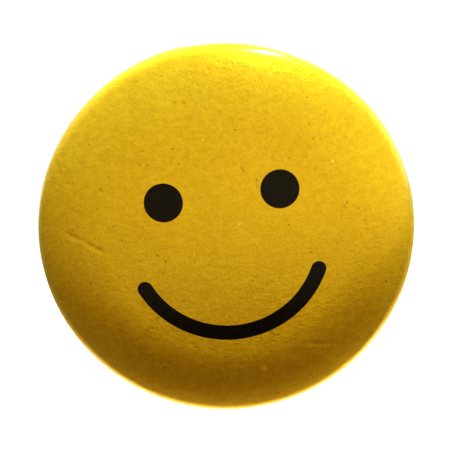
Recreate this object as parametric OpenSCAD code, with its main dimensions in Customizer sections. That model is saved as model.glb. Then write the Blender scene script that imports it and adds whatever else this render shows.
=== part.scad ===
// Round pin-back button badge: a printed face wrapped over a domed tin shell, with a crimped-in steel back plate
// and a spring-wire pin. It stands upright as it is worn: the face looks towards -Y, the top of the print is +Z,
// and the origin is the centre of the flat ring on its back. Lengths are in millimetres.
//
// Each module draws its piece in badge axes, which upright() then turns: x to the right seen from the front, y up, and
// z forwards from the plane of the back ring.

/* [Face] */
// Diameter over the wrapped rim
badge_d = 38; // [37.5:0.1:39]
// Radius of the gently domed middle of the face
crown_r = 100; // [85:5:150]
// Radius of the shoulder between the dome and the rim
shoulder_r = 16; // [14:0.5:18]
// Slope at which the shoulder runs into the rim's curl
shoulder_slope = 31; // [29:1:33]
// Radius of the curl at the front of the rim
curl_r = 2; // [1.8:0.1:2.4]
// Height of the straight side between the curl and the crimp
side_h = 0.2; // [0.1:0.1:0.6]
// Radius of the crimp that turns the rim in at the back
crimp_r = 0.95; // [0.9:0.01:0.98]
// How far the crimp stays in front of the flat back ring
crimp_inset = 0.1; // [0.05:0.05:0.2]

/* [Layers] */
// Thickness of the clear film
film_t = 0.075; // [0.05:0.005:0.08]
// Thickness of the printed paper
paper_t = 0.12; // [0.09:0.01:0.13]
// Thickness of the ink let into the paper
ink_t = 0.05; // [0.03:0.01:0.07]
// Thickness of the tinplate of the shell and the back plate
tin_t = 0.25; // [0.2:0.01:0.27]

/* [Print] */
// Diameter of each round eye
eye_d = 3.8; // [2:0.1:4.4]
// Distance between the centres of the eyes
eye_span = 11.4; // [8:0.1:13]
// Height of the eyes above the middle of the face
eye_y = 4.4; // [3:0.1:6]
// Radius of the mouth's arc, about the middle of the face
mouth_r = 9.5; // [7:0.1:10.2]
// Angle that the mouth's arc spans
mouth_span = 130; // [60:5:150]
// Width of the mouth's stroke
mouth_w = 1.5; // [0.8:0.1:2]

/* [Back plate] */
// Diameter of the plate's brim, which the crimp traps
brim_d = 36; // [35.6:0.1:36.4]
// Depth of the recess that holds the pin
recess_depth = 1.9; // [1.85:0.01:1.95]
// Inner diameter of the flat ring on the back
ring_inner_d = 29.2; // [28.8:0.1:30]
// Angle by which the recess wall leans off the badge's axis
recess_lean = 20; // [10:1:25]
// Radius of the plate's stamped bends, to the middle of the sheet
bend_r = 0.3; // [0.28:0.01:0.34]
// Gap between the plate and the rolled lip round it
plate_gap = 0.05; // [0.04:0.01:0.08]
// Gap between the end of the lip and the brim
lip_gap = 0.08; // [0.07:0.01:0.15]

/* [Pin] */
// Diameter of the spring wire
wire_d = 0.8; // [0.7:0.02:0.8]
// Radius of the spring bend, to the middle of the wire
loop_r = 1.8; // [1.6:0.05:1.9]
// How far the spring bend leans the needle off the plate
loop_lean = 8.8; // [8:0.1:9]
// Height of the needle above the middle of the badge
needle_y = 1.2; // [0.8:0.1:1.4]
// Distance of the spring bend from the middle of the badge
loop_x = 10.6; // [10:0.1:10.7]
// Distance of the needle's tip from the middle of the badge
tip_x = 12.6; // [12:0.1:12.8]
// Length of the ground point
point_len = 5; // [4.5:0.1:5.5]
// Radius left at the very tip
tip_r = 0.06; // [0.04:0.01:0.1]
// Clearance of the pin's stand-in joint
joint_gap = 0.03; // [0.02:0.01:0.04]
// Radius of the bend at the wire's foot, to the middle of the wire
foot_r = 0.8; // [0.75:0.01:0.9]
// Distance of the wire's foot from the middle of the badge
foot_x = 4.2; // [3.8:0.1:5]

/* [Bridges and catch] */
// Width of each bridge over the wire
bridge_w = 1.6; // [1.2:0.1:2]
// Distance of the outer bridge from the middle of the badge
outer_bridge_x = 7.6; // [7:0.1:8]
// Distance of the inner bridge from the middle of the badge
inner_bridge_x = 0.4; // [0:0.1:1]
// Gap between a bridge and the wire under it
bridge_gap = 0.02; // [0.01:0.01:0.04]
// Distance of the catch from the middle of the badge
catch_x = 10; // [9.9:0.1:10.1]
// Width of the catch
catch_w = 2.6; // [2.2:0.1:2.8]
// Inner radius of the catch's hook
catch_r = 0.65; // [0.62:0.01:0.66]
// Angle from upright at which the hook's lip ends
catch_lip = 72; // [70:1:78]
// Length of the window that the hook was lanced from
catch_window = 2.5; // [2:0.1:2.8]

/* [Hidden] */
$fn = 96;

rim_r = badge_d / 2;
stack_t = film_t + paper_t + tin_t;
crimp_centre = [rim_r - crimp_r, crimp_inset + crimp_r];
curl_centre = [rim_r - curl_r, crimp_centre.y + side_h];
shoulder_centre = curl_centre - (shoulder_r - curl_r) * unit(90 - shoulder_slope);
// The dome is tangent to the shoulder and centred on the badge's axis
crown_slope = asin(shoulder_centre.x / (crown_r - shoulder_r));
crown_centre = [0, shoulder_centre.y - (crown_r - shoulder_r) * cos(crown_slope)];

floor_z = recess_depth;
sheet_z = floor_z + tin_t / 2;
lip_r = rim_r - 2 * crimp_r;
lip_end = [lip_r, floor_z - lip_gap];
flange_r = lip_r - plate_gap - tin_t / 2;
// How far the recess wall carries the sheet towards the axis between its two bends
wall_rise = sheet_z - tin_t / 2 - 2 * bend_r * (1 - sin(recess_lean));
wall_run = wall_rise * tan(recess_lean) + 2 * bend_r * cos(recess_lean);

wire_r = wire_d / 2;
wire_seat = 0.01;
leg_z = floor_z - wire_r - wire_seat;
needle_z = leg_z - 2 * loop_r * sin(loop_lean);
leg_y = needle_y + 2 * loop_r * cos(loop_lean);
foot_end_z = floor_z + tin_t + wire_r;
// The spring bend stops short of the joint, to leave the needle room to swing
loop_stop = 9;

bridge_r = wire_r + bridge_gap;
window_gap = 0.1;
slot_gap = 0.03;
// How far a cut runs past each side of the sheet
past = 0.5;

// Unit vector at an angle from the badge's radius
function unit(angle) = [cos(angle), sin(angle)];

// A profile is a list of samples [point, angle of its outward normal]. An arc whose radius is negative is hollow.
function arc(centre, radius, from, to, steps) =
    [for (i = [0 : steps])
        let (angle = from + (to - from) * i / steps)
        [centre + radius * unit(angle), angle]];

// The line at a depth under a profile
function sunk(profile, depth) = [for (s = profile) s[0] - depth * unit(s[1])];

function reversed(list) = [for (i = [len(list) - 1 : -1 : 0]) list[i]];

// The closed outline between two depths under a profile
function band(profile, outer, inner) = concat(sunk(profile, outer), reversed(sunk(profile, inner)));

// The dome, from the axis to the shoulder
function crown_profile() = arc(crown_centre, crown_r, 90, 90 - crown_slope, 10);

// The whole wrapped rim, from the axis round the outside to the end of the lip
function face_profile() = concat(
    crown_profile(),
    arc(shoulder_centre, shoulder_r, 90 - crown_slope, 90 - shoulder_slope, 8),
    arc(curl_centre, curl_r, 90 - shoulder_slope, 0, 10),
    arc(crimp_centre, crimp_r, 0, -180, 20),
    [[lip_end, -180]]
);

// The middle of the back plate's sheet, from the brim to the axis
function plate_profile() = concat(
    [[[brim_d / 2, sheet_z], -90]],
    arc([flange_r + bend_r, sheet_z - bend_r], -bend_r, -90, 0, 6),
    arc([flange_r - bend_r, tin_t / 2 + bend_r], bend_r, 0, -90, 6),
    arc([ring_inner_d / 2, tin_t / 2 + bend_r], bend_r, -90, recess_lean - 180, 6),
    arc([ring_inner_d / 2 - wall_run, sheet_z - bend_r], -bend_r, recess_lean - 180, -90, 6),
    [[[0, sheet_z], -90]]
);

// Turns badge axes to the upright frame
module upright() {
    rotate([90, 0, 0]) children();
}

// Turns a closed outline about the badge's axis
module turned(outline) {
    rotate_extrude() polygon(outline);
}

// The print as upright prisms: two round eyes and an arc with round ends
module print_prisms() {
    print_h = 2 * rim_r;
    mouth_from = -90 - mouth_span / 2;
    for (side = [-1, 1]) {
        translate([side * eye_span / 2, eye_y, 0]) cylinder(d = eye_d, h = print_h);
        rotate(-90 + side * mouth_span / 2) translate([mouth_r, 0, 0]) cylinder(d = mouth_w, h = print_h);
    }
    rotate(mouth_from)
        rotate_extrude(angle = mouth_span)
            translate([mouth_r - mouth_w / 2, 0]) square([mouth_w, print_h]);
}

module clear_film() {
    color("white", 0.3) upright() turned(band(face_profile(), 0, film_t));
}

module printed_paper() {
    color("gold") upright() difference() {
        turned(band(face_profile(), film_t, film_t + paper_t));
        intersection() {
            turned(band(crown_profile(), 0, film_t + ink_t));
            print_prisms();
        }
    }
}

module printed_ink() {
    color("black") upright() intersection() {
        turned(band(crown_profile(), film_t, film_t + ink_t));
        print_prisms();
    }
}

module front_shell() {
    color("silver") upright() turned(band(face_profile(), film_t + paper_t, stack_t));
}

// A strip of the floor pushed out into an arch over the wire's fixed leg
module bridge(x) {
    translate([x - bridge_w / 2, leg_y, leg_z]) rotate([90, 0, 90]) {
        rotate(180) rotate_extrude(angle = 180) translate([bridge_r, 0]) square([tin_t, bridge_w]);
        for (side = [0, 1]) {
            mirror([side, 0, 0])
                translate([bridge_r, 0, 0]) cube([tin_t, sheet_z - leg_z, bridge_w]);
        }
    }
}

// The strip of floor that became a bridge
module bridge_window(x) {
    translate([x - bridge_w / 2, leg_y - bridge_r, floor_z - past])
        cube([bridge_w, 2 * bridge_r, tin_t + 2 * past]);
}

// A tongue of the floor bent up below the needle and curled over its back
module catch_hook() {
    translate([catch_x - catch_w / 2, needle_y, needle_z]) rotate([90, 0, 90]) {
        rotate(-180) rotate_extrude(angle = 180 - catch_lip) translate([catch_r, 0]) square([tin_t, catch_w]);
        translate([-catch_r - tin_t, 0, 0]) cube([tin_t, sheet_z - needle_z, catch_w]);
    }
}

module catch_hook_window() {
    translate([catch_x - catch_w / 2 - window_gap, needle_y - catch_r, floor_z - past])
        cube([catch_w + 2 * window_gap, catch_window, tin_t + 2 * past]);
}

// The keyhole that the wire's foot drops through
module foot_slot() {
    slot_r = wire_r + slot_gap;
    translate([foot_x, leg_y, floor_z - past]) cylinder(r = slot_r, h = tin_t + 2 * past);
    translate([foot_x - foot_r - slot_gap, leg_y - slot_r, floor_z - past])
        cube([foot_r + slot_gap, 2 * slot_r, tin_t + 2 * past]);
}

module back_plate() {
    color("lightsteelblue") upright() {
        difference() {
            turned(band(plate_profile(), -tin_t / 2, tin_t / 2));
            bridge_window(-outer_bridge_x);
            bridge_window(inner_bridge_x);
            catch_hook_window();
            foot_slot();
        }
        bridge(-outer_bridge_x);
        bridge(inner_bridge_x);
        catch_hook();
    }
}

// Wire from the foot, along the fixed leg and round the spring bend, hollowed where the needle's ball end turns
module pin_anchor() {
    leg_len = loop_x + foot_x - foot_r;
    color("gainsboro") upright() translate([-loop_x, needle_y, needle_z]) difference() {
        rotate([loop_lean, 0, 0]) {
            translate([0, loop_r, 0]) rotate(90) wire_bend(loop_r, 180 - loop_stop);
            translate([0, 2 * loop_r, 0]) rotate([0, 90, 0]) cylinder(r = wire_r, h = leg_len);
            translate([leg_len, 2 * loop_r, 0]) rotate([-loop_lean, 0, 0]) wire_foot();
        }
        sphere(r = wire_r + joint_gap);
    }
}

// The end of the fixed leg, turned forwards through the plate
module wire_foot() {
    translate([0, 0, foot_r]) {
        rotate([90, 0, 0]) rotate(-90) wire_bend(foot_r, 90);
        translate([foot_r, 0, 0]) cylinder(r = wire_r, h = foot_end_z - leg_z - foot_r);
    }
}

module wire_bend(radius, angle) {
    rotate_extrude(angle = angle) translate([radius, 0]) circle(r = wire_r);
}

module pin_needle() {
    straight_len = loop_x + tip_x - point_len;
    color("white") upright() translate([-loop_x, needle_y, needle_z]) rotate([0, 90, 0]) {
        sphere(r = wire_r);
        cylinder(r = wire_r, h = straight_len);
        translate([0, 0, straight_len]) cylinder(r1 = wire_r, r2 = tip_r, h = point_len - tip_r);
        translate([0, 0, straight_len + point_len - tip_r]) sphere(r = tip_r);
    }
}

clear_film();
printed_paper();
printed_ink();
front_shell();
back_plate();
pin_anchor();
pin_needle();
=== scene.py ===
"""Looks of the round pin-back button badge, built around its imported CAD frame.

Lengths of the badge are in millimetres until MM turns them to metres. Those of the studio are in metres.
Shapes are worked out in badge axes, as in the CAD source: x to the right seen from the front, y up, and z
forwards from the plane of the flat ring on the back.
"""
import math

import bmesh
import bpy
import numpy as np
from mathutils import Matrix, Vector


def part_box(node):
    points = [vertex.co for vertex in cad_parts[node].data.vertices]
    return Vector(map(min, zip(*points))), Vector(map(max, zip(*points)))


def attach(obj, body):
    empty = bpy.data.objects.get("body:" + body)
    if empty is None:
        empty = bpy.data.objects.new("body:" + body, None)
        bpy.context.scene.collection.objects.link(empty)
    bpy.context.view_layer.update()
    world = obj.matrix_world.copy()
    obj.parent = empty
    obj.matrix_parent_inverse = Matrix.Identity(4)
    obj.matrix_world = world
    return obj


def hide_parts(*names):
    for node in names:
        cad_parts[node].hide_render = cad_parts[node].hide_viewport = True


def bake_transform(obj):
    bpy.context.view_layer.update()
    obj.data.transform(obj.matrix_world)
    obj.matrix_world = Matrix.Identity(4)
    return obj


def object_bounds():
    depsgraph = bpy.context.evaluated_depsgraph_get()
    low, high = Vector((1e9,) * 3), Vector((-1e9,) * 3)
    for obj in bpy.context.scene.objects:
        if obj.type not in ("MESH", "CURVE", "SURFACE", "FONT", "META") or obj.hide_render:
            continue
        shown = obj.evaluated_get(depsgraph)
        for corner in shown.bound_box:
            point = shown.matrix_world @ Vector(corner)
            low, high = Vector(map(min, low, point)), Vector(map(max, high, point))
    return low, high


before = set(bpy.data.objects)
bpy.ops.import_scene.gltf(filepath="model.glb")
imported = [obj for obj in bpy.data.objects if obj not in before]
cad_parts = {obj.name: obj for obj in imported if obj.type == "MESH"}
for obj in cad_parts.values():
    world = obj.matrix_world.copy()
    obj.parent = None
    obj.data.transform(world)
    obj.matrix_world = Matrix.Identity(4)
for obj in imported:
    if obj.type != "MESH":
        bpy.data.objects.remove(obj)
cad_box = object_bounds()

MM = 0.001

# ---- Sizes repeated from the CAD source ----
film_low, film_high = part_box("clear_film")
RIM_R = (film_high.x - film_low.x) / 2 / MM
CROWN_R = 100
SHOULDER_R = 16
SHOULDER_SLOPE = 31
CURL_R = 2
SIDE_H = 0.2
CRIMP_R = 0.95
CRIMP_INSET = 0.1
FLOOR_Z = 1.9
LIP_END_Z = FLOOR_Z - 0.08
EYE_D = 3.8
EYE_SPAN = 11.4
EYE_Y = 4.4
MOUTH_R = 9.5
MOUTH_SPAN = 130
MOUTH_W = 1.5
WIRE_R = 0.4
LOOP_R = 1.8
LOOP_LEAN = 8.8
FOOT_R = 0.8
FOOT_END_Z = 2.55

# ---- Depths of the layers under the outer surface. The ink stands about 0.01 mm proud of the paper. ----
FILM_INNER = 0.062
PAPER_OUTER = 0.085
PAPER_INNER = 0.195
INK_TOP = 0.074
INK_BASE = 0.125

# ---- Density of the wrapped meshes ----
# Points round the axis, close enough together for the specks of dust
SEGMENTS = 560
# Rows along the crown, the shoulder, the curl and the crimp: where there is relief, and where there is none
RELIEF_ROWS = (72, 36, 16, 24)
PLAIN_ROWS = (12, 10, 8, 12)
LIP_ROWS = 3


# ---- Profile of the badge's section ----
def unit(angle):
    """The direction at an angle in degrees."""
    return np.array([math.cos(math.radians(angle)), math.sin(math.radians(angle))])


def arc(centre, radius, start, end, steps):
    """Samples (radius, z, normal's radius, normal's z) along an arc of the badge's section."""
    angles = np.linspace(start, end, steps + 1)
    return np.array([[*(np.array(centre) + radius * unit(a)), *unit(a)] for a in angles])


CRIMP_CENTRE = np.array([RIM_R - CRIMP_R, CRIMP_INSET + CRIMP_R])
CURL_CENTRE = np.array([RIM_R - CURL_R, CRIMP_CENTRE[1] + SIDE_H])
SHOULDER_CENTRE = CURL_CENTRE - (SHOULDER_R - CURL_R) * unit(90 - SHOULDER_SLOPE)
CROWN_SLOPE = math.degrees(math.asin(SHOULDER_CENTRE[0] / (CROWN_R - SHOULDER_R)))
CROWN_CENTRE = np.array([0, SHOULDER_CENTRE[1] - (CROWN_R - SHOULDER_R) * unit(CROWN_SLOPE)[0]])


def face_profile(crown, shoulder, curl, crimp):
    """The outer line of the badge's section, from the axis round the rim to the end of the lip."""
    lip = [[RIM_R - 2 * CRIMP_R, z, -1, 0] for z in np.linspace(CRIMP_CENTRE[1], LIP_END_Z, LIP_ROWS + 1)]
    return np.vstack([
        arc(CROWN_CENTRE, CROWN_R, 90, 90 - CROWN_SLOPE, crown),
        arc(SHOULDER_CENTRE, SHOULDER_R, 90 - CROWN_SLOPE, 90 - SHOULDER_SLOPE, shoulder)[1:],
        arc(CURL_CENTRE, CURL_R, 90 - SHOULDER_SLOPE, 0, curl)[1:],
        arc(CRIMP_CENTRE, CRIMP_R, 0, -180, crimp),
        lip[1:],
    ])


def crown_height(x, y):
    """Height of the dome's outer surface over a point of the face."""
    return CROWN_CENTRE[1] + np.sqrt(CROWN_R**2 - x**2 - y**2)


# ---- Small relief of the film and the paper ----
# Specks of dust caught under the film: place, radius and height
DUST = [
    (13.8, 10.3, 0.26, 0.11),
    (12.9, 8.6, 0.24, 0.10),
    (4.5, 12.2, 0.22, 0.08),
    (2.0, -14.1, 0.24, 0.10),
    (-14.2, 1.2, 0.20, 0.09),
]
# Faint creases: the two ends, half width and depth
CREASES = [
    ((-15.6, 2.2), (-12.4, 0.2), 0.20, 0.060),
    ((6.4, -11.7), (10.2, -12.4), 0.20, 0.035),
    ((-15.9, 9.3), (-15.7, 8.1), 0.18, 0.060),
]
# The shares of the relief that the film's inner face and the paper follow
FILM_FOLLOWS = 0.9
PAPER_FOLLOWS = 0.8
# The crimp gathers the film and the paper into small pleats. Where a pleat starts, and how soon after that it
# is at full depth, are shares of the way round the crimp. The spread is a share of the space between pleats.
PLEATS = 170
PLEAT_SEED = 11
PLEAT_SPREAD = 0.4
PLEAT_WIDTHS = (0.15, 0.28)
PLEAT_DEPTHS = (0.015, 0.06)
PLEAT_LEAN = 0.5
PLEAT_STARTS = (0.05, 0.3)
PLEAT_RISE = 0.3
PLEAT_LIMIT = 0.065


def dust_and_creases(x, y):
    """Depth, towards the inside, of the relief at points of the face."""
    depth = np.zeros_like(x)
    for cx, cy, radius, height in DUST:
        depth -= height * np.exp(-((x - cx) ** 2 + (y - cy) ** 2) / radius**2)
    for start, end, width, deep in CREASES:
        a, b = np.array(start), np.array(end)
        along = b - a
        t = np.clip(((x - a[0]) * along[0] + (y - a[1]) * along[1]) / (along @ along), 0, 1)
        off = (x - a[0] - t * along[0]) ** 2 + (y - a[1] - t * along[1]) ** 2
        depth += deep * np.exp(-off / width**2)
    return depth


def pleat_depth(angles, share):
    """Depth of the pleats at each angle round the rim, at a share of the way round the crimp."""
    random = np.random.RandomState(PLEAT_SEED)
    spread = random.uniform(-PLEAT_SPREAD, PLEAT_SPREAD, PLEATS)
    places = (np.arange(PLEATS) + spread) / PLEATS * 2 * math.pi
    widths = random.uniform(*PLEAT_WIDTHS, PLEATS) / RIM_R
    depths = random.uniform(*PLEAT_DEPTHS, PLEATS)
    leans = random.uniform(-PLEAT_LEAN, PLEAT_LEAN, PLEATS) / RIM_R
    starts = random.uniform(*PLEAT_STARTS, PLEATS)
    apart = angles[:, None] - (places + leans * share)[None, :]
    apart = (apart + math.pi) % (2 * math.pi) - math.pi
    strength = np.clip((share - starts) / PLEAT_RISE, 0, 1) * depths
    return (strength * np.exp(-((apart / widths) ** 2))).sum(1).clip(0, PLEAT_LIMIT)


def relief(profile, angles):
    """Depth of all the relief over the rows of a profile and the angles round the badge."""
    radius = profile[:, 0]
    x = radius[:, None] * np.cos(angles)
    y = radius[:, None] * np.sin(angles)
    faces_forward = profile[:, 3] > 0.05
    depth = dust_and_creases(x, y) * faces_forward[:, None]
    behind = np.flatnonzero(~faces_forward)
    for row, share in zip(behind, np.linspace(0, 1, len(behind))):
        depth[row] = pleat_depth(angles, share)
    return depth


# ---- Mesh helpers ----
def to_frame(points):
    """Badge axes in millimetres to the frame's axes in metres."""
    points = np.asarray(points, float)
    return np.stack([points[:, 0], -points[:, 2], points[:, 1]], axis=1) * MM


def piece(name, points, faces, material, sharp_angle=35):
    """A smooth-shaded object made of badge points and faces, with its normals turned outwards."""
    mesh = bpy.data.meshes.new(name)
    mesh.from_pydata([tuple(p) for p in to_frame(points)], [], faces)
    work = bmesh.new()
    work.from_mesh(mesh)
    bmesh.ops.recalc_face_normals(work, faces=work.faces)
    work.to_mesh(mesh)
    work.free()
    mesh.polygons.foreach_set("use_smooth", [True] * len(mesh.polygons))
    mesh.set_sharp_from_angle(angle=math.radians(sharp_angle))
    mesh.materials.append(material)
    made = bpy.data.objects.new(name, mesh)
    bpy.context.scene.collection.objects.link(made)
    return made


def band(first, second, count):
    """Faces that join two rings of points, given by the number of each ring's first point."""
    return [(first + j, second + j, second + (j + 1) % count, first + (j + 1) % count) for j in range(count)]


def turned_surface(profile, depth, angles, bumps):
    """Rows of points of a surface turned about the axis. The points of the first row lie together on it."""
    down = depth + bumps
    radius = profile[:, 0, None] - down * profile[:, 2, None]
    height = profile[:, 1, None] - down * profile[:, 3, None]
    return np.stack([radius * np.cos(angles), radius * np.sin(angles), height], axis=2)


def turned_solid(name, outer, inner, material):
    """The closed solid between two turned surfaces that start on the axis, joined at their last rows."""
    points, faces, edges = [], [], []
    for surface in (outer, inner):
        rows, count = surface.shape[:2]
        pole = len(points)
        points.append(surface[0].mean(0))
        first = len(points)
        points.extend(surface[1:].reshape(-1, 3))
        faces.extend((pole, first + j, first + (j + 1) % count) for j in range(count))
        for i in range(rows - 2):
            faces.extend(band(first + i * count, first + (i + 1) * count, count))
        edges.append(first + (rows - 2) * count)
    faces.extend(band(*edges, count))
    return piece(name, points, faces, material)


def slab(outlines):
    """The closed layer of ink under nested outlines, each a list of face points with the innermost first."""
    count = len(outlines[0])
    half = len(outlines) * count
    points, faces = [], []
    for depth in (INK_TOP, INK_BASE):
        for outline in outlines:
            points.extend((x, y, crown_height(x, y) - depth) for x, y in outline)
    for base in (0, half):
        for i in range(len(outlines) - 1):
            faces.extend(band(base + i * count, base + (i + 1) * count, count))
    faces.extend(band(half - count, 2 * half - count, count))
    return points, faces


def merge_close_points(mesh):
    """Joins points that lie together, and drops faces that have no area left."""
    work = bmesh.new()
    work.from_mesh(mesh)
    bmesh.ops.remove_doubles(work, verts=work.verts, dist=1e-7)
    bmesh.ops.dissolve_degenerate(work, edges=work.edges, dist=1e-8)
    bmesh.ops.recalc_face_normals(work, faces=work.faces)
    work.to_mesh(mesh)
    work.free()


# ---- Material helpers ----
def material(name):
    """A new material, and its empty node tree."""
    made = bpy.data.materials.new(name)
    made.use_nodes = True
    made.node_tree.nodes.clear()
    return made, made.node_tree


def feed(tree, socket, value):
    """Links a socket to an input, or gives the input a plain value. Colours are red, green and blue."""
    if isinstance(value, bpy.types.NodeSocket):
        tree.links.new(value, socket)
    elif socket.type == "RGBA":
        socket.default_value = (*value, 1)
    else:
        socket.default_value = value


def node(tree, kind, settings=None, **inputs):
    """Adds a shader node with its settings and inputs. In an input's name, _ stands for a space."""
    made = tree.nodes.new("ShaderNode" + kind)
    for key, value in (settings or {}).items():
        setattr(made, key, value)
    for key, value in inputs.items():
        feed(tree, made.inputs[key.replace("_", " ")], value)
    return made


def place(tree, scale=(1, 1, 1), turn=(0, 0, 0)):
    """Object coordinates, stretched and turned."""
    coords = node(tree, "TexCoord").outputs["Object"]
    return node(tree, "Mapping", Vector=coords, Scale=scale, Rotation=turn).outputs["Vector"]


def noise(tree, vector, scale, detail, roughness, distortion=0.0):
    """Noise from 0 to 1. In object coordinates its scale is the number of cells to the metre."""
    made = node(tree, "TexNoise", Vector=vector, Scale=scale, Detail=detail, Roughness=roughness,
                Distortion=distortion)
    return made.outputs["Fac"]


def levels(tree, value, low, high, to_low=0.0, to_high=1.0):
    """Stretches part of a value's range to another range, and holds it within that."""
    made = node(tree, "MapRange", Value=value, From_Min=low, From_Max=high, To_Min=to_low, To_Max=to_high)
    return made.outputs["Result"]


def calc(tree, operation, a, b):
    """One step of arithmetic on two values."""
    made = node(tree, "Math", {"operation": operation})
    for socket, value in zip(made.inputs, (a, b)):
        feed(tree, socket, value)
    return made.outputs[0]


def between(tree, factor, low, high):
    """A value between two others."""
    made = node(tree, "Mix", {"data_type": "FLOAT"})
    for index, value in ((0, factor), (2, low), (3, high)):
        feed(tree, made.inputs[index], value)
    return made.outputs[0]


def blended(tree, factor, low, high):
    """A colour between two others."""
    made = node(tree, "Mix", {"data_type": "RGBA"})
    for index, value in ((0, factor), (6, low), (7, high)):
        feed(tree, made.inputs[index], value)
    return made.outputs[2]


def bump(tree, height, distance, normal=None):
    """The normal of a surface roughened by a height, over another normal if there is one."""
    made = node(tree, "Bump", Height=height, Distance=distance, Strength=1.0)
    if normal is not None:
        tree.links.new(normal, made.inputs["Normal"])
    return made.outputs["Normal"]


def shaded(made, shader):
    """The material, with a shader for its surface."""
    node(made.node_tree, "OutputMaterial", Surface=shader.outputs[0])
    return made


# ---- Materials ----
WHITE = (1, 1, 1)
PRINT_DARK = (0.76, 0.530, 0.026)
PRINT_LIGHT = (0.91, 0.685, 0.042)
PIT = (0.36, 0.21, 0.006)
# Whitish yellow of small painted glints on the print
PAINTED_GLINT = (1.0, 0.86, 0.42)
INK_SOLID = (0.0045, 0.0035, 0.003)
INK_THIN = (0.016, 0.012, 0.008)
SHELL_TIN = (0.66, 0.66, 0.64)
BACK_TIN = (0.74, 0.735, 0.715)
TIN_SHADE = 0.82
WIRE_BRIGHT = (0.72, 0.70, 0.66)
WIRE_DULL = (0.56, 0.545, 0.51)
# How much of the paper's look is satin sheen, which mirrors the room in the print's own colour
PAPER_SHEEN = 0.65
# The film is almost clear: its gloss never covers more than this share
FILM_IOR = 1.2
FILM_GLOSS = 0.10


def paper_grain(tree):
    """Height of the paper's grain: fine fibres, coarser flocks and a slight run across the sheet."""
    fine = noise(tree, place(tree), 4200, 3, 0.6)
    flocks = noise(tree, place(tree), 1500, 5, 0.6, 0.3)
    run = noise(tree, place(tree, (1, 1, 2.4), (0, 0.12, 0)), 1000, 4, 0.6, 0.6)
    coarse = calc(tree, "ADD", calc(tree, "MULTIPLY", flocks, 0.30), calc(tree, "MULTIPLY", run, 0.34))
    return calc(tree, "ADD", calc(tree, "MULTIPLY", fine, 0.36), coarse)


def specks(tree, scale, radius):
    """1 on small round specks strewn a cell apart, and 0 between them. The radius is a share of the cell."""
    cells = node(tree, "TexVoronoi", Vector=place(tree), Scale=scale)
    return levels(tree, cells.outputs["Distance"], radius, 0.6 * radius)


def paper_material():
    """Golden yellow print on satin paper, mottled by the paper's fibres, with small pits and small pale
    specks that are painted glints.
    """
    made, tree = material("printed_paper_stock")
    grain = paper_grain(tree)
    clouds = noise(tree, place(tree), 150, 3, 0.5)
    mottling = levels(tree, grain, 0.40, 0.60, 0, 0.8)
    tone = calc(tree, "ADD", mottling, levels(tree, clouds, 0.35, 0.65, 0, 0.2))
    printed = blended(tree, tone, PRINT_DARK, PRINT_LIGHT)
    patches = levels(tree, noise(tree, place(tree), 400, 2, 0.5), 0.50, 0.62)
    pits = calc(tree, "MULTIPLY", specks(tree, 1200, 0.20), patches)
    pitted = blended(tree, calc(tree, "MULTIPLY", pits, 0.38), printed, PIT)
    # Small pale specks strewn over the print: painted glints of the film's gloss, not marks in the paper
    colour = blended(tree, specks(tree, 270, 0.035), pitted, PAINTED_GLINT)
    height = calc(tree, "SUBTRACT", grain, calc(tree, "MULTIPLY", pits, 0.25))
    return shaded(made, node(
        tree, "BsdfPrincipled", Base_Color=colour, Roughness=levels(tree, grain, 0.35, 0.65, 0.30, 0.42),
        Metallic=PAPER_SHEEN, Specular_IOR_Level=0.12, Normal=bump(tree, height, 0.00007)))


def ink_material():
    """Solid black print that lets a little of the paper's grain through."""
    made, tree = material("black_print")
    fibres = noise(tree, place(tree), 1500, 8, 0.68, 0.6)
    colour = blended(tree, levels(tree, fibres, 0.45, 0.8), INK_SOLID, INK_THIN)
    return shaded(made, node(
        tree, "BsdfPrincipled", Base_Color=colour, Roughness=levels(tree, fibres, 0.3, 0.7, 0.35, 0.5),
        Specular_IOR_Level=0.2, Normal=bump(tree, fibres, 0.00002)))


def film_material():
    """Clear polyester film: a slightly scuffed surface that shows only by its reflections."""
    made, tree = material("clear_polyester_film")
    peel = noise(tree, place(tree), 700, 3, 0.5)
    scuffs = noise(tree, place(tree, (1, 1, 9), (0, 0.7, 0)), 500, 6, 0.7, 0.4)
    roughness = levels(tree, scuffs, 0.4, 0.75, 0.09, 0.20)
    normal = bump(tree, peel, 0.000006)
    fresnel = node(tree, "Fresnel", IOR=FILM_IOR, Normal=normal).outputs[0]
    clear = node(tree, "BsdfTransparent", Color=WHITE)
    gloss = node(tree, "BsdfGlossy", Color=WHITE, Roughness=roughness, Normal=normal)
    mixed = node(tree, "MixShader")
    share = calc(tree, "MINIMUM", fresnel, FILM_GLOSS)
    for socket, part in zip(mixed.inputs, (share, clear.outputs[0], gloss.outputs[0])):
        tree.links.new(part, socket)
    return shaded(made, mixed)


def tinplate_material(name, bright):
    """Rolled and stamped tinplate: fine rolling lines, a cloudy tin coat and a few rubbed marks."""
    made, tree = material(name)
    rolling = noise(tree, place(tree, (1, 1, 60)), 260, 5, 0.6)
    tin = noise(tree, place(tree), 420, 6, 0.6, 0.8)
    smudges = noise(tree, place(tree), 90, 3, 0.5, 0.5)
    scratches = noise(tree, place(tree, (3, 1, 70), (0, 0.9, 0)), 160, 2, 0.5)
    tone = calc(tree, "ADD", levels(tree, tin, 0.3, 0.7, 0, 0.5), levels(tree, rolling, 0.3, 0.7, 0, 0.5))
    colour = blended(tree, tone, tuple(TIN_SHADE * c for c in bright), bright)
    base = levels(tree, smudges, 0.4, 0.65, 0.24, 0.36)
    roughness = calc(tree, "ADD", base, levels(tree, rolling, 0.3, 0.7, -0.03, 0.05))
    lines = calc(tree, "ADD", rolling, levels(tree, scratches, 0.66, 0.72, 0, 0.6))
    normal = bump(tree, lines, 0.000004, bump(tree, tin, 0.000003))
    return shaded(made, node(
        tree, "BsdfPrincipled", Base_Color=colour, Metallic=1.0, Roughness=roughness, Normal=normal))


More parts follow.
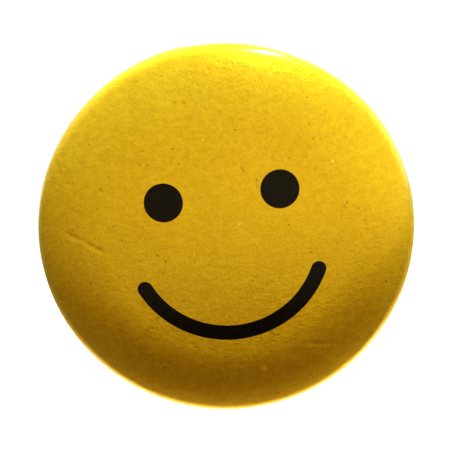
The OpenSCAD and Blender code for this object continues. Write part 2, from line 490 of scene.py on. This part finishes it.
def wire_material():
    """Nickel-plated drawn wire: fine lines along it, and rings where the point is ground."""
    made, tree = material("drawn_spring_wire")
    along = node(tree, "UVMap", {"uv_map": "along_wire"}).outputs["UV"]
    lengthwise = node(tree, "Mapping", Vector=along, Scale=(0.6, 40, 1)).outputs["Vector"]
    drawn = noise(tree, lengthwise, 1.0, 4, 0.6)
    crosswise = node(tree, "Mapping", Vector=along, Scale=(40, 1.2, 1)).outputs["Vector"]
    rings = noise(tree, crosswise, 1.0, 4, 0.7)
    distance = node(tree, "SeparateXYZ", Vector=along).outputs["X"]
    ground = levels(tree, distance, WIRE_POINT_U, WIRE_POINT_U + 0.4)
    tarnish = noise(tree, place(tree), 300, 5, 0.6)
    colour = blended(tree, levels(tree, tarnish, 0.35, 0.7), WIRE_BRIGHT, WIRE_DULL)
    height = between(tree, ground, drawn, rings)
    roughness = calc(tree, "ADD", levels(tree, height, 0.3, 0.7, 0.16, 0.30),
                     calc(tree, "MULTIPLY", ground, 0.08))
    return shaded(made, node(
        tree, "BsdfPrincipled", Base_Color=colour, Metallic=1.0, Roughness=roughness,
        Normal=bump(tree, height, 0.000008)))


# ---- Face: film, paper and ink ----
def wrapped_layers():
    """The film and the paper, wrapped over the dome and gathered in behind the rim."""
    angles = np.linspace(0, 2 * math.pi, SEGMENTS, endpoint=False)
    fine = face_profile(*RELIEF_ROWS)
    coarse = face_profile(*PLAIN_ROWS)
    bumps = relief(fine, angles)
    plain = np.zeros((len(coarse), SEGMENTS))
    film = turned_solid("film_disc", turned_surface(fine, 0, angles, bumps),
                        turned_surface(fine, FILM_INNER, angles, bumps * FILM_FOLLOWS), film_material())
    paper = turned_solid("paper_disc", turned_surface(fine, PAPER_OUTER, angles, bumps * PAPER_FOLLOWS),
                         turned_surface(coarse, PAPER_INNER, angles, plain), paper_material())
    for made, cad, slot in ((film, "clear_film", "film"), (paper, "printed_paper", "paper")):
        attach(made, "badge")
        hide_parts(cad)


# Points round an eye, along a side of the mouth and round an end of it, and the nested outlines in each
EYE_POINTS = 96
MOUTH_POINTS = 160
END_POINTS = 24
EYE_OUTLINES = 9
MOUTH_OUTLINES = 5


def eye_outline(cx, radius):
    """Points of a circle on the face, at the eyes' height."""
    angles = np.radians(np.linspace(0, 360, EYE_POINTS, endpoint=False))
    return [(cx + radius * math.cos(a), EYE_Y + radius * math.sin(a)) for a in angles]


def face_arc(centre, radius, start, sweep, count):
    """Points of an arc on the face, both ends included, in degrees from the x axis."""
    angles = np.radians(np.linspace(start, start + sweep, count))
    return [(centre[0] + radius * math.cos(a), centre[1] + radius * math.sin(a)) for a in angles]


def mouth_outline(half_width):
    """The outline at a distance from the mouth's middle line, with round ends."""
    low, high = -90 - MOUTH_SPAN / 2, -90 + MOUTH_SPAN / 2
    outer = face_arc((0, 0), MOUTH_R + half_width, low, MOUTH_SPAN, MOUTH_POINTS)
    right = face_arc(MOUTH_R * unit(high), half_width, high, 180, END_POINTS)[1:-1]
    inner = face_arc((0, 0), MOUTH_R - half_width, high, -MOUTH_SPAN, MOUTH_POINTS)
    left = face_arc(MOUTH_R * unit(low), half_width, low + 180, 180, END_POINTS)[1:-1]
    return outer + right + inner + left


def ink_print():
    """Two round eyes and a smiling arc, as one thin layer that follows the dome."""
    eye_radii = np.linspace(0, EYE_D / 2, EYE_OUTLINES)
    shapes = [slab([eye_outline(side * EYE_SPAN / 2, r) for r in eye_radii]) for side in (-1, 1)]
    shapes.append(slab([mouth_outline(w) for w in np.linspace(0, MOUTH_W / 2, MOUTH_OUTLINES)]))
    points, faces = [], []
    for shape_points, shape_faces in shapes:
        faces.extend(tuple(len(points) + i for i in face) for face in shape_faces)
        points.extend(shape_points)
    ink = piece("ink_print", points, faces, ink_material(), 60)
    merge_close_points(ink.data)
    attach(ink, "badge")
    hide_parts("printed_ink")


# ---- Pin. The middle line of the wire comes from the boxes of its two CAD nodes. ----
needle_low, needle_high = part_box("pin_needle")
NEEDLE_Y = (needle_low.z + needle_high.z) / 2 / MM
NEEDLE_Z = -(needle_low.y + needle_high.y) / 2 / MM
LOOP_X = -(needle_low.x / MM + WIRE_R)
TIP_X = needle_high.x / MM
anchor_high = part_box("pin_anchor")[1]
FOOT_X = anchor_high.x / MM - WIRE_R
LEG_Y = NEEDLE_Y + 2 * LOOP_R * unit(LOOP_LEAN)[0]
LEG_Z = NEEDLE_Z + 2 * LOOP_R * unit(LOOP_LEAN)[1]
# The ground point's length, how it narrows along that (1 would be a plain cone), and the radius of its tip
POINT_LEN = 5
POINT_TAPER = 1.12
TIP_R = 0.06
# Rounding of the foot's cut end
FOOT_ROUND = 0.18
# Points round the wire
WIRE_SIDES = 24


def wire_path():
    """The wire's middle line from the foot to the tip, as points with the wire's radius at each."""
    path = [(FOOT_X, LEG_Y, z) for z in np.linspace(FOOT_END_Z, LEG_Z + FOOT_R, 4)]
    for a in np.radians(np.linspace(0, 90, 13))[1:]:
        path.append((FOOT_X - FOOT_R * (1 - math.cos(a)), LEG_Y, LEG_Z + FOOT_R * (1 - math.sin(a))))
    path += [(x, LEG_Y, LEG_Z) for x in np.linspace(FOOT_X - FOOT_R, -LOOP_X, 24)[1:]]
    lean = unit(LOOP_LEAN)
    for a in np.radians(np.linspace(90, 270, 49))[1:]:
        up = LOOP_R * (1 + math.sin(a))
        path.append((-LOOP_X + LOOP_R * math.cos(a), NEEDLE_Y + up * lean[0], NEEDLE_Z + up * lean[1]))
    ground_x = TIP_X - POINT_LEN
    path += [(x, NEEDLE_Y, NEEDLE_Z) for x in np.linspace(-LOOP_X, ground_x, 28)[1:]]
    radii = [WIRE_R] * len(path)
    for share in np.linspace(0, 1, 25)[1:]:
        path.append((ground_x + (POINT_LEN - TIP_R) * share, NEEDLE_Y, NEEDLE_Z))
        radii.append(WIRE_R + (TIP_R - WIRE_R) * share**POINT_TAPER)
    return np.array(path), np.array(radii)


WIRE_PATH, WIRE_RADII = wire_path()
WIRE_LENGTHS = np.concatenate([[0], np.cumsum(np.linalg.norm(np.diff(WIRE_PATH, axis=0), axis=1))])
WIRE_POINT_U = WIRE_LENGTHS[-1] - POINT_LEN


def wire_rings():
    """Rings of points along the wire, with round ends, and the distance along it of each ring."""
    tangents = np.gradient(WIRE_PATH, axis=0)
    tangents /= np.linalg.norm(tangents, axis=1)[:, None]
    around = np.linspace(0, 2 * math.pi, WIRE_SIDES, endpoint=False)
    side = np.array([0.0, 1.0, 0.0])
    rings, places = [], []

    def ring(centre, tangent, radius, place):
        """Adds a ring across the wire, turned as little as it can be from the last one."""
        nonlocal side
        side = side - tangent * (side @ tangent)
        side /= np.linalg.norm(side)
        other = np.cross(tangent, side)
        rings.append([centre + radius * (math.cos(a) * side + math.sin(a) * other) for a in around])
        places.append(place)

    for a in np.radians([12, 35, 60]):
        inset = FOOT_ROUND * (1 - math.sin(a))
        ring(WIRE_PATH[0] + tangents[0] * inset, tangents[0], WIRE_R - inset, 0)
    for i in range(1, len(WIRE_PATH)):
        ring(WIRE_PATH[i], tangents[i], WIRE_RADII[i], WIRE_LENGTHS[i])
    for a in np.radians([25, 50, 72]):
        centre = WIRE_PATH[-1] + tangents[-1] * TIP_R * math.sin(a)
        ring(centre, tangents[-1], TIP_R * math.cos(a), WIRE_LENGTHS[-1])
    return rings, places


def map_along_wire(mesh, places):
    """A UV map with the distance along the wire, in millimetres, and the turn round it, from 0 to 1."""
    layer = mesh.uv_layers.new(name="along_wire")
    for polygon in mesh.polygons:
        sides = [mesh.loops[k].vertex_index % WIRE_SIDES for k in polygon.loop_indices]
        wraps = max(sides) == WIRE_SIDES - 1 and min(sides) == 0
        for k, s in zip(polygon.loop_indices, sides):
            turn = (s + WIRE_SIDES if wraps and s == 0 else s) / WIRE_SIDES
            layer.data[k].uv = (places[mesh.loops[k].vertex_index // WIRE_SIDES], turn)


def pin_wire():
    """One length of spring wire: foot, fixed leg, spring bend, needle and ground point."""
    rings, places = wire_rings()
    points = [p for ring in rings for p in ring]
    faces = []
    for i in range(len(rings) - 1):
        faces.extend(band(i * WIRE_SIDES, (i + 1) * WIRE_SIDES, WIRE_SIDES))
    faces.append(tuple(range(WIRE_SIDES)))
    faces.append(tuple(range(len(points) - WIRE_SIDES, len(points))))
    wire = piece("pin_wire", points, faces, wire_material(), 50)
    map_along_wire(wire.data, places)
    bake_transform(wire)
    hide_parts("pin_anchor", "pin_needle")


# ---- Metal parts that keep their CAD shape ----
SOFT_EDGE = 0.04


def sheet_metal():
    """The shell and the back plate, in their CAD shapes. The back plate's edges, which show, are softened."""
    for name, slot, bright in (("front_shell", "shell_tinplate", SHELL_TIN),
                               ("back_plate", "back_tinplate", BACK_TIN)):
        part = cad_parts[name]
        part.data.materials.clear()
        part.data.materials.append(tinplate_material(name + "_tinplate", bright))
        part.data.polygons.foreach_set("use_smooth", [True] * len(part.data.polygons))
        part.data.set_sharp_from_angle(angle=math.radians(32))
    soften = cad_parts["back_plate"].modifiers.new("soft_edges", "BEVEL")
    soften.width = SOFT_EDGE * MM
    soften.segments = 2
    soften.limit_method = "ANGLE"
    soften.angle_limit = math.radians(40)
    soften.harden_normals = True


# ---- Studio, in metres ----
# The pale floor runs flat to this radius, then sweeps up into a wall all round
FLOOR_RADIUS = 1.2
SWEEP_RADIUS = 0.5
WALL_HEIGHT = 1.6
FLOOR_POINTS = 96
FLOOR_DARK = (0.42, 0.42, 0.42)
FLOOR_LIGHT = (0.45, 0.45, 0.45)
FLOOR_GLOW = 0.75


def floor_profile():
    """Radius and height of the floor, the sweep and the wall."""
    rows = [(FLOOR_RADIUS, 0.0)]
    for turn in np.linspace(0, math.pi / 2, 13)[1:]:
        rows.append((FLOOR_RADIUS + SWEEP_RADIUS * math.sin(turn), SWEEP_RADIUS * (1 - math.cos(turn))))
    rows.append((FLOOR_RADIUS + SWEEP_RADIUS, WALL_HEIGHT))
    return rows


def floor_material():
    """Pale and matt, with a glow of its own, so that it looks alike all round."""
    made, tree = material("pale_floor")
    grain = noise(tree, place(tree), 60, 4, 0.6)
    return shaded(made, node(
        tree, "BsdfPrincipled", Base_Color=blended(tree, grain, FLOOR_DARK, FLOOR_LIGHT), Roughness=0.9,
        Specular_IOR_Level=0.0, Emission_Color=WHITE, Emission_Strength=FLOOR_GLOW))


def studio_floor():
    """A pale floor that the badge stands on, swept up into a wall all round. Only the camera sees it."""
    angles = np.linspace(0, 2 * math.pi, FLOOR_POINTS, endpoint=False)
    rows = floor_profile()
    points = [(r * math.cos(a), r * math.sin(a), h) for r, h in rows for a in angles]
    faces = [tuple(range(FLOOR_POINTS))]
    for row in range(len(rows) - 1):
        faces.extend(band((row + 1) * FLOOR_POINTS, row * FLOOR_POINTS, FLOOR_POINTS))
    mesh = bpy.data.meshes.new("floor")
    mesh.from_pydata(points, [], faces)
    mesh.polygons.foreach_set("use_smooth", [True] * len(mesh.polygons))
    mesh.materials.append(floor_material())
    floor = bpy.data.objects.new("floor", mesh)
    floor.location = (0, 0, cad_box[0].z)
    floor.visible_diffuse = False
    floor.visible_glossy = False
    floor.visible_shadow = False
    bpy.context.scene.collection.objects.link(floor)


# Colours of the world's light by its direction, as seen from the badge
HORIZON_FRONT = (0.77, 0.645, 0.37)
HORIZON_FRONT_LEFT = (0.36, 0.27, 0.14)
HORIZON_BACK = (0.80, 0.80, 0.80)
HORIZON_BACK_LEFT = (0.14, 0.11, 0.06)
SKY = (0.42, 0.42, 0.40)
GROUND_FRONT = (0.085, 0.018, 0.003)
GROUND_BACK = (0.16, 0.15, 0.14)
# How much lower the horizon lies in front of the badge, so that the satin face mirrors the dark ground only
# as a crescent along its lower edge
HORIZON_DROP = 0.32


def studio_world():
    """A room that is brightest along the horizon, dimmer at the left and warm in front, over dark ground."""
    world = bpy.data.worlds.new("studio")
    bpy.context.scene.world = world
    world.use_nodes = True
    tree = world.node_tree
    tree.nodes.clear()
    way = node(tree, "SeparateXYZ", Vector=node(tree, "TexCoord").outputs["Generated"])
    across, depth, up = (way.outputs[axis] for axis in "XYZ")
    in_front = levels(tree, depth, 0.0, -0.55)
    front = blended(tree, levels(tree, across, -0.9, 0.1), HORIZON_FRONT_LEFT, HORIZON_FRONT)
    back = blended(tree, levels(tree, across, -0.9, -0.4), HORIZON_BACK_LEFT, HORIZON_BACK)
    horizon = blended(tree, in_front, back, front)
    above = blended(tree, levels(tree, up, 0.0, 0.6), horizon, SKY)
    below = blended(tree, in_front, GROUND_BACK, GROUND_FRONT)
    over_horizon = calc(tree, "ADD", up, calc(tree, "MULTIPLY", in_front, HORIZON_DROP))
    light = blended(tree, levels(tree, over_horizon, -0.12, -0.02), below, above)
    background = node(tree, "Background", Color=light, Strength=1.0)
    node(tree, "OutputWorld", Surface=background.outputs[0])


WARM_BOUNCE = (1.0, 0.76, 0.42)
WARM_STRIP = (1.0, 0.88, 0.68)


def soft_box(name, direction, distance, size, watts, colour=WHITE, unseen=None):
    """A rectangular soft light that looks at the badge's middle.

    One unseen by "glossy" rays isn't reflected, and one unseen by "diffuse" rays is only reflected.
    """
    light = bpy.data.lights.new(name, "AREA")
    light.shape = "RECTANGLE"
    light.size, light.size_y = size
    light.energy = watts
    light.color = colour
    made = bpy.data.objects.new(name, light)
    towards = Vector(direction).normalized()
    made.location = towards * distance
    made.rotation_mode = "QUATERNION"
    made.rotation_quaternion = towards.to_track_quat("Z", "Y")
    made.visible_camera = False
    made.visible_diffuse = unseen != "diffuse"
    made.visible_glossy = unseen != "glossy"
    bpy.context.scene.collection.objects.link(made)


def studio_lights():
    """Lights for the face, the rims and the back, and two that are there only for their reflections."""
    soft_box("key", (0.42, -0.27, 0.87), 0.30, (0.14, 0.14), 0.90, unseen="glossy")
    soft_box("bounce", (0.0, 0.33, -0.94), 0.07, (0.10, 0.03), 0.25, WARM_BOUNCE, unseen="glossy")
    soft_box("back_fill", (0.25, 0.85, 0.55), 0.45, (0.30, 0.30), 0.8)
    soft_box("streak", (0.36, -0.12, 0.92), 0.30, (0.14, 0.05), 0.45, unseen="diffuse")
    soft_box("rim", (0.80, 0.28, 0.52), 0.30, (0.15, 0.15), 1.3, unseen="glossy")
    soft_box("left_rim", (-0.42, 0.26, 0.87), 0.30, (0.15, 0.15), 1.6, unseen="glossy")
    soft_box("under_strip", (0.0, 0.53, -0.85), 0.20, (0.40, 0.19), 0.19, WARM_STRIP, unseen="diffuse")


# ---- Camera ----
# The direction it looks from and its roll, in degrees from the badge's axis
CAMERA_AZIMUTH = 0.6
CAMERA_ELEVATION = 12.6
CAMERA_ROLL = 7.0
# Focal length and sensor, in millimetres
CAMERA_LENS = 100
CAMERA_SENSOR = 36
# How far it stands from the middle of the rim, and how far to the right of it and below it, in metres
CAMERA_DISTANCE = 0.1328
CAMERA_ASIDE = 0.00104
CAMERA_BELOW = 0.00064


def studio_camera():
    """The camera that sees the badge as the photograph does."""
    data = bpy.data.cameras.new("camera")
    data.lens = CAMERA_LENS
    data.sensor_width = CAMERA_SENSOR
    data.clip_start, data.clip_end = 0.01, 20
    camera = bpy.data.objects.new("camera", data)
    a, e, roll = (math.radians(x) for x in (CAMERA_AZIMUTH, CAMERA_ELEVATION, CAMERA_ROLL))
    back = Vector((math.sin(a) * math.cos(e), -math.cos(a) * math.cos(e), math.sin(e)))
    right = Vector((math.cos(a), math.sin(a), 0))
    up = back.cross(right)
    rolled_right = right * math.cos(roll) - up * math.sin(roll)
    rolled_up = up * math.cos(roll) + right * math.sin(roll)
    rim_middle = Vector((0, -CURL_CENTRE[1] * MM, 0))
    spot = rim_middle + back * CAMERA_DISTANCE + rolled_right * CAMERA_ASIDE - rolled_up * CAMERA_BELOW
    turn = Matrix((rolled_right, rolled_up, back)).transposed().to_4x4()
    camera.matrix_world = Matrix.Translation(spot) @ turn
    bpy.context.scene.collection.objects.link(camera)
    bpy.context.scene.camera = camera


bpy.context.scene.view_settings.view_transform = "Standard"
bpy.context.scene.view_settings.look = "High Contrast"
wrapped_layers()
ink_print()
pin_wire()
sheet_metal()
studio_floor()
studio_world()
studio_lights()
studio_camera()
